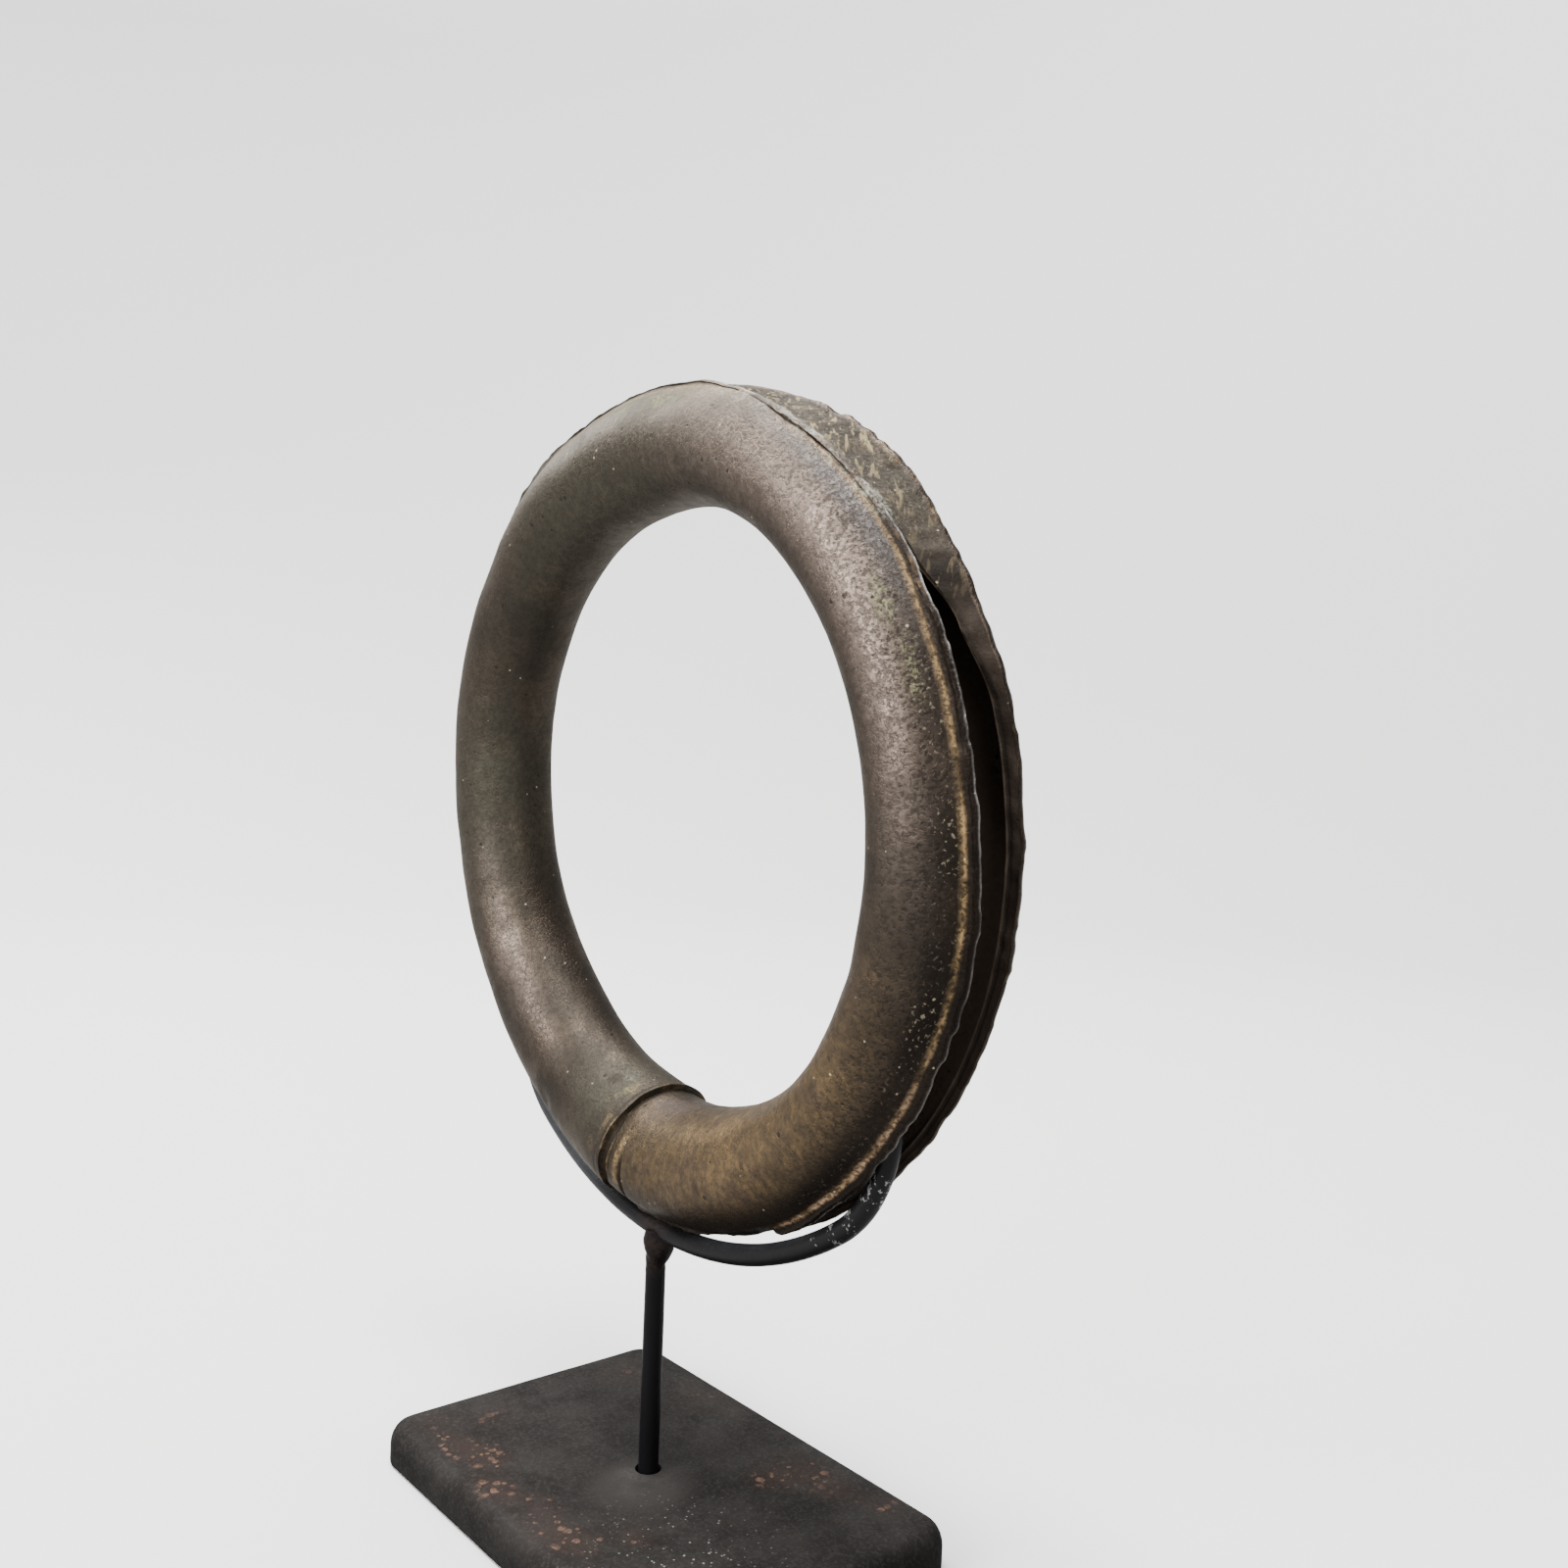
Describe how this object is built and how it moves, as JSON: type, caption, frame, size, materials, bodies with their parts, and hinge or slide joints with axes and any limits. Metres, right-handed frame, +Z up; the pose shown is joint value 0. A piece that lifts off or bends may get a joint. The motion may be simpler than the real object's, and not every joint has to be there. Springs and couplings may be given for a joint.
{
  "type": "rattle bangle on a display stand",
  "caption": "Hollow bronze rattle bangle with an open outer rim, standing upright in a wire cradle on a rod and a small steel base plate.",
  "frame": {"origin": "the point of the base plate's underside that the rod's axis meets; the underside rests on the table", "axes": "+Z up along the rod, +X along the base plate's long side and the plane of the ring, +Y through the ring's hole away from the front"},
  "size_m": [0.1275, 0.0534, 0.1715],
  "materials": {
    "bronze": "dark brown patina, satin, with golden wear on the lips",
    "cradle_wire": "satin black paint, chipped",
    "post_rod": "satin black paint",
    "base_plate": "matte charcoal with rust specks"
  },
  "bodies": {
    "root": {"bangle": "bronze", "cradle": "cradle_wire", "post": "post_rod", "base": "base_plate"}
  },
  "joints": []
}
